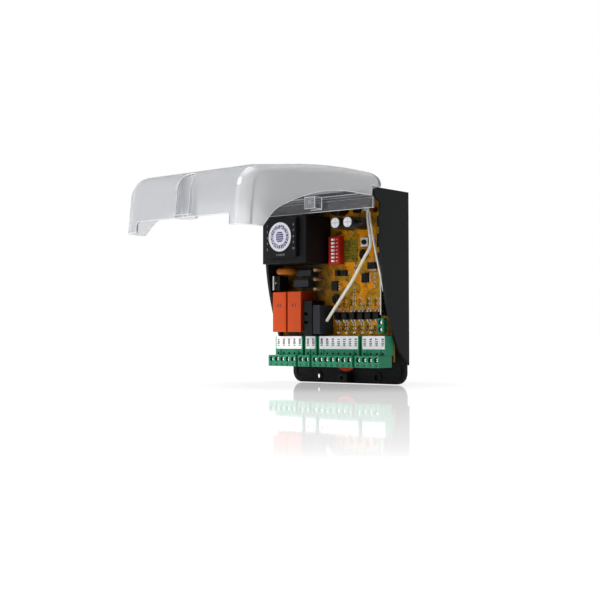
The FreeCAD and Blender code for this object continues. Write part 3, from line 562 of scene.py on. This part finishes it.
def printed(name, words, look, body):
    """Plain numbers as thin flat ink: (text, height, centre x, front y, centre z, turn in degrees), in mm."""
    digit_share = 0.72  # of the font's size
    form = bmesh.new()
    for text, height, x, y, z, turn in words:
        font = bpy.data.curves.new(name, "FONT")
        font.body = text
        font.size = height * MM / digit_share
        font.extrude = 0.015 * MM
        font.offset = height * 0.06 * MM
        font.align_x = "CENTER"
        font.align_y = "CENTER"
        font.resolution_u = 2
        holder = bpy.data.objects.new(name, font)
        flat = bpy.data.meshes.new_from_object(holder)
        flat.transform(Matrix.Translation((x * MM, y * MM, z * MM)) @ Matrix.Rotation(pi / 2, 4, "X")
                       @ Matrix.Rotation(radians(turn), 4, "Z"))
        form.from_mesh(flat)
        bpy.data.objects.remove(holder)
        bpy.data.meshes.remove(flat)
    bmesh.ops.remove_doubles(form, verts=form.verts, dist=0.001 * MM)
    piece = add(name, mesh_from(name, form, look))
    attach(piece, body)


def ink_look(name, colour):
    """Dull printing ink, a little uneven."""
    look = Finish(name, colour, roughness=0.6)
    look.tint(look.noise(0.5, detail=3) * 0.4, [min(1, v + 0.12) for v in colour[:3]] + [1])
    return look.material


ink_gap = 0.01  # how far ink stands in front of its piece, in millimetres
core_low, core_high = box_mm("transformer_core")
core_front = core_low.y - ink_gap
core_numbers = [(str(5 * column + row + 1), 1.5, x, core_front, core_high.z - 5.0 - 4.2 * row, 0)
                for column, x in enumerate((core_low.x + 1.9, core_high.x - 2.0)) for row in range(5)]
core_numbers += [("0 10 20 30", 1.3, (core_low.x + core_high.x) / 2, core_front, core_low.z + 1.7, 0)]
printed("transformer_numbers", core_numbers, ink_look("grey_ink", tone(120, 122, 126)),
        "case")


# Relays: two tall orange cases soldered to the board side by side, each with a plain number on its end. The
# right side of the right one is painted darker, as shade.
def relay_look():
    """Orange, with painted shade on the right side of relay 2."""
    look = moulded("relay_orange_plastic", tone(204, 77, 30), roughness=0.38, grain=0.7, depth=0.02)
    x, _, _ = look.axes()
    # Painted shade on relay 2's right side.
    look.tint(x > box_mm("relay_2")[1].x - 0.2, tone(150, 44, 14))
    return look.material


relay_orange = relay_look()
dark_ink = ink_look("dark_red_ink", tone(64, 10, 8))
for relay, number in (("relay_1", "2"), ("relay_2", "1")):
    eased(relay, relay_orange, edge=0.35)
    relay_low, relay_high = box_mm(relay)
    words = [("0 " + number, 2.3, (relay_low.x + relay_high.x) / 2, relay_low.y - ink_gap, -11.0, 0)]
    printed(relay + "_number", words, dark_ink, "case")


# Fuse holder and slim relay: black and dark grey plastic parts, soldered to the board between the orange
# relays and the chips.
part_black = moulded("component_black_plastic", tone(12, 12, 14), roughness=0.45, grain=0.5, depth=0.02)
relay_grey = moulded("slim_relay_grey", tone(44, 47, 54), roughness=0.42, grain=0.5, depth=0.02)
eased("fuse_holder", part_black.material, edge=0.25)
eased("slim_relay", relay_grey.material, edge=0.25)


# Power parts at the left: an amber dipped varistor disc, a triac with its tinned tab, two film capacitors
# and three standing resistors with colour bands. They and the board's black parts are soldered in.
varistor = moulded("varistor_lacquer", tone(172, 94, 20), roughness=0.34, grain=1.3, depth=0.08, spots=0.4)
dress(varistor.material, "varistor")
dress(part_black.material, "triac", "chips", "optocouplers", "edge_parts", "receiver_socket", "round_choke")
dress(metal("triac_tab_tin", tone(196, 196, 194), roughness=0.4).material, "triac_tab")
dress(relay_grey.material, "film_capacitors")


def resistor_look():
    """Two red bands with a dark one between them, round a sand-coloured body."""
    look = Finish("resistor_banded", roughness=0.4)
    _, y, _ = look.axes()
    look.put("Base Color", look.mix(look.noise(1.2), tone(214, 178, 128), tone(190, 148, 98)))
    look.tint(y.between(-20.8, -20.0) | y.between(-17.6, -16.9), tone(168, 40, 26))
    look.tint(y.between(-19.2, -18.5), tone(44, 34, 30))
    return look


dress(resistor_look().material, "standing_resistors")


# Electrolytic capacitors: two cans with dark shrink sleeves, soldered to the board. Their bare aluminium
# tops are scored with a cross.
def can_top_look():
    """Bare metal, greyer along the scored lines of both cans."""
    look = metal("can_top_aluminium", tone(240, 240, 242), roughness=0.4, metallic=0.6)
    x, _, z = look.axes()
    pair_middle, can_middle, level, score = 20.5, 5.4, 45.45, 0.14
    cross = (abs(abs(x - pair_middle) - can_middle) < score) | (abs(z - level) < score)
    look.put("Base Color", look.mix(cross, tone(240, 240, 242), tone(150, 150, 154)))
    return look


sleeve_film = Finish("can_sleeve_film", tone(24, 25, 30), roughness=0.25)
sleeve_film.put("Roughness", sleeve_film.noise(3.0) * 0.2 + 0.2)
sleeve_film.bump(sleeve_film.noise(2.0, detail=2), 0.3, 0.05)
dress(sleeve_film.material, "capacitor_sleeves")
dress(can_top_look().material, "capacitor_tops")


# Antenna coil: a few turns of bare copper wire that stand on the board, soldered in at both ends.
dress(metal("coil_copper", tone(142, 88, 44), roughness=0.35).material, "antenna_coil")


# Option switch: a red housing soldered to the board, with seven white sliders in its slots. Plain numbers
# 1 to 7 stand beside them. The sliders glow a little, because the photo shows them brighter.
switch_red = moulded("switch_red_plastic", tone(196, 40, 28), roughness=0.36, grain=0.6, depth=0.02)
switch_white = moulded("slider_white", tone(252, 252, 250), roughness=0.4, grain=0.6, depth=0.02, spots=0.05)
switch_white.put("Emission Color", tone(252, 252, 250))
switch_white.put("Emission Strength", 0.15)
eased("dip_switch_body", switch_red.material, edge=0.18)
switch_front = box_mm("dip_switch_body")[0].y - ink_gap
switch_numbers = []
for n in range(1, 8):
    slider = "dip_slider_%d" % n
    dress(switch_white.material, slider)
    slider_low, slider_high = box_mm(slider)
    switch_numbers.append((str(n), 1.35, 5.2, switch_front, (slider_low.z + slider_high.z) / 2, 90))
printed("switch_numbers", switch_numbers, ink_look("white_ink", tone(225, 225, 222)), "case")


# Learning button: a black base soldered to the board and a black plunger, under a bright steel frame that
# is clipped over the base.
frame_steel = metal("button_frame_steel", tone(214, 214, 212), roughness=0.3, metallic=0.4)
eased("button_frame", frame_steel.material, edge=0.16, rim=pin_tin.material)
dress(part_black.material, "button_base", "button_plunger")


# Terminals: green headers soldered to the board, the green screw plugs that pull off them, and white
# card labels. Each pole has a plain number.
pitch = 5.08
green_tone = tone(48, 142, 106)
pole_groups = [("plug_1", -46.99, 5), ("plug_2", -19.05, 2), ("plug_3", -6.35, 7), ("plug_4", 31.75, 4)]
plug_green = moulded("terminal_green_plastic", green_tone, roughness=0.42, grain=0.6)


def from_pole(place, pole):
    """The distance from the nearest pole of a row. One of its poles stands at that place."""
    return (place - pole + pitch / 2) % pitch - pitch / 2


def header_look(name, pole):
    """The same green, with painted shade that darkens the inside of the coding slots in the header's front.
    One of the header's poles stands at that place."""
    look = moulded(name, green_tone, roughness=0.42, grain=0.6)
    x, y, z = look.axes()
    low = box_mm("header_1")[0]
    # Painted shade inside the coding slots.
    slot_shade = (abs(from_pole(x, pole)) < 0.9) * (y > low.y + 1.2) * z.between(low.z + 0.4, low.z + 2.0)
    look.tint(slot_shade, tone(4, 22, 16))
    return look.material


# Headers 1 and 3 share a row of poles. Headers 2 and 4 stand half a pitch beside it.
header_greens = [header_look("header_green", pole_groups[0][1]),
                 header_look("header_green_half_pitch", pole_groups[1][1])]
for n in range(1, 5):
    eased("header_%d" % n, header_greens[(n + 1) % 2], edge=0.15)
    eased("plug_%d" % n, plug_green.material, edge=0.18)
eased("aux_terminal", plug_green.material, edge=0.15)


def label_look():
    """White card with a little dust. The leftmost label glows more, because the photo shows it brighter."""
    look = Finish("label_card", tone(253, 253, 254), roughness=0.55, emission_strength=0.25)
    look.tint(look.noise(2.0, detail=5) * 0.2, tone(228, 228, 232))
    x, _, _ = look.axes()
    look.put("Emission Color", look.mix(x > -24, (1, 1, 1, 1), (0.1, 0.1, 0.1, 1)))
    look.bump(look.noise(0.3), 0.1, 0.02)
    return look


dress(label_look().material, "terminal_labels")


def screw_look(name, nodes):
    """Worn steel screw heads, slightly domed, with painted shade that darkens their rims. They stand one
    pitch apart.
    """
    look = metal(name, tone(190, 190, 186), roughness=0.16)
    low, high = box_mm(nodes[0])
    x, _, z = look.axes()
    radius = 1.5
    dx = from_pole(x, low.x + radius)
    dz = from_pole(z, high.z - radius)
    out = dx * dx + dz * dz
    look.bump(out * -1.0, 1.0, 0.2)
    # Painted shade: the colour darkens towards each head's rim.
    look.put("Base Color", look.mix(out / 2.2 & 1.0, tone(200, 200, 196), tone(40, 40, 38)))
    dress(look.material, *nodes)


screw_look("screw_steel_worn", ["plug_screws_1", "plug_screws_3"])
screw_look("screw_steel_half_pitch", ["plug_screws_2", "plug_screws_4"])
screw_look("screw_steel_small", ["aux_screws"])
black_ink = ink_look("black_ink", tone(12, 12, 16))
label_front = box_mm("terminal_labels")[0].y - ink_gap
label_height, plug_height = -37.7, -53.3
label_numbers = []
for plug, first, poles in pole_groups:
    plug_front = box_mm(plug)[0].y - ink_gap
    plug_numbers = []
    for pole in range(poles):
        number = len(label_numbers) + 1
        x = first + pitch * pole
        label_numbers.append((str(1000 + number), 2.1, x + 0.3, label_front, label_height, 90))
        plug_numbers.append((str(number), 1.7, x, plug_front, plug_height, 0))
    printed(plug + "_numbers", plug_numbers, black_ink, plug)
printed("label_numbers", label_numbers, black_ink, "case")


# Small parts: chip resistors with tinned ends, solder at every chip leg, clear status lights, and the
# receiver card at the right edge. The resistors and the solder are built on the places of the CAD pieces.
def places(node):
    """The lowest and highest corner of each separate solid in a CAD node, in metres."""
    form = cad_form(node)
    waiting = set(form.verts)
    found = []
    while waiting:
        group = [waiting.pop()]
        for spot in group:
            for link in spot.link_edges:
                other = link.other_vert(spot)
                if other in waiting:
                    waiting.remove(other)
                    group.append(other)
        lows = [min(v.co[i] for v in group) for i in range(3)]
        highs = [max(v.co[i] for v in group) for i in range(3)]
        found.append((Vector(lows), Vector(highs)))
    form.free()
    return sorted(found, key=lambda pair: tuple(pair[0]))


def block(form, low, high, material=0, taper=1.0):
    """A block between two corners. Its front face, towards the viewer, is narrower by taper."""
    made = bmesh.ops.create_cube(form, size=1.0)
    size = high - low
    for spot in made["verts"]:
        if spot.co.y < 0:
            spot.co.x *= taper
            spot.co.z *= taper
        spot.co = Vector((spot.co.x * size.x, spot.co.y * size.y, spot.co.z * size.z)) + (low + high) / 2
    for face in set(f for v in made["verts"] for f in v.link_faces):
        face.material_index = material


def finish_piece(name, form, looks, body, edge):
    """Makes the piece from its form, with edges broken by that many millimetres, riding on its body."""
    bmesh.ops.bevel(form, geom=list(form.edges), offset=edge * MM, affect="EDGES", segments=1, profile=0.5,
                    material=-1, clamp_overlap=True)
    bmesh.ops.recalc_face_normals(form, faces=form.faces)
    piece = add(name, mesh_from(name, form, *[look.material for look in looks]))
    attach(piece, body)
    return piece


solder = metal("solder_bright", tone(244, 243, 238), roughness=0.36, metallic=0.35)
resistor_body = Finish("chip_resistor_body", tone(20, 20, 22), roughness=0.4)
resistor_body.tint(resistor_body.noise(2.4, detail=1.0), tone(120, 92, 52))
resistors = bmesh.new()
for low, high in places("small_parts"):
    end = (high.x - low.x) * 0.24
    sunk = 0.04 * MM
    block(resistors, Vector((low.x + end, low.y + sunk, low.z)), Vector((high.x - end, high.y, high.z)))
    block(resistors, low, Vector((low.x + end, high.y, high.z)), material=1)
    block(resistors, Vector((high.x - end, low.y, low.z)), high, material=1)
chip_parts = finish_piece("chip_resistors", resistors, [resistor_body, solder], "case",
                          edge=0.05)
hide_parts("small_parts")

# Solder lies round the whole of a short leg, but only round the foot of an optocoupler's long leg, at the
# end that is away from its body.
joints = bmesh.new()
collar = Vector((0.22 * MM, 0, 0.22 * MM))
opto_low, opto_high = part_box("optocouplers")
for low, high in places("chip_pins"):
    first = Vector((low.x, high.y - 0.3 * MM, low.z)) - collar
    last = high + collar
    if high.z - low.z > 1.8 * MM:
        above = low.z + high.z > opto_low.z + opto_high.z
        first.z = high.z - 0.9 * MM if above else low.z - 0.3 * MM
        last.z = first.z + 1.3 * MM
    block(joints, first, last, taper=0.7)
finish_piece("solder_joints", joints, [solder], "case", edge=0.04)
dress(solder.material, "chip_pins")

light = Finish("status_light", tone(254, 254, 250), roughness=0.15, coat_weight=0.6)
light.tint(light.noise(0.8) * 0.5, tone(226, 222, 206))
dress(light.material, "status_leds")


def card_look():
    """Dark lacquer with pale dots, and the pale cut edge of the sheet at its front."""
    look = Finish("receiver_card_lacquer", tone(26, 30, 28), roughness=0.4)
    _, y, _ = look.axes()
    dots = look.node("TexVoronoi", {"feature": "F1"}, look.place(), scale=0.5) < 0.16
    look.tint(dots, tone(170, 168, 158))
    look.tint(y < -23.2, tone(214, 210, 192))
    return look


dress(card_look().material, "receiver_card")


# Cover: one clear polycarbonate moulding on two moulded pins, shown swung up. Light soaks into its walls, so
# it looks pale grey. Its edges glow with painted light.
def cover_look():
    """Milky clear plastic with a faint haze. Towards the two side walls it has a clearer tint, painted light
    that makes them show brighter.
    """
    look = Finish("cover_polycarbonate", roughness=0.2, transmission_weight=0.7, ior=1.46,
                  specular_ior_level=0.5, coat_weight=1.0, coat_roughness=0.04)
    haze = look.noise(16)
    x, _, _ = look.axes()
    wall_from, wall_depth = 42, 9
    milky = look.mix(haze, (0.73, 0.745, 0.77, 1), (0.8, 0.815, 0.84, 1))
    clearer_painted_light = look.mix(haze, (0.96, 0.97, 0.98, 1), (0.99, 0.99, 1.0, 1))
    # Painted light: the side walls get the clearer tint, so they show brighter.
    look.put("Base Color", look.mix(((abs(x) - wall_from) / wall_depth).held(), milky, clearer_painted_light))
    look.put("Roughness", haze * 0.1 + 0.13)
    look.bump(look.noise(6.0, detail=2), 0.1, 0.12)
    return look


# The frosted rims glow: painted light for light carried along the plastic to its edges.
frosted_glow = Finish("cover_edges_frosted_glowing", (0.97, 0.975, 0.985, 1), roughness=0.3, transmission_weight=0.25,
                 ior=1.46, emission_color=(0.97, 0.98, 1, 1), emission_strength=0.15)
frosted_glow.bump(frosted_glow.noise(0.6, detail=2), 0.1, 0.05)
shell = eased("cover", cover_look().material, edge=0.3, sharp=32, rim=frosted_glow.material, clamp=False)

# The lip along the hinge has polished faces, so the dark case shows through it, and a dark grey tint that is
# painted shade. Its faces are those next to the hinge, and those below the top wall in front of it.
polished_shaded = Finish("cover_lip_polished_shaded", (0.36, 0.37, 0.39, 1), roughness=0.05, transmission_weight=0.75,
                  ior=1.46)
polished_shaded.put("Roughness", polished_shaded.noise(8, detail=2) * 0.08 + 0.02)
shell.data.materials.append(polished_shaded.material)
for face in shell.data.polygons:
    x, y, z = face.center * 1000
    beside_hinge = y > -38.2 and abs(x) < 51.0
    below_top = y > -46 and z < 64.6 and abs(x) < 50.0
    if face.material_index == 0 and (beside_hinge or below_top):
        face.material_index = 2
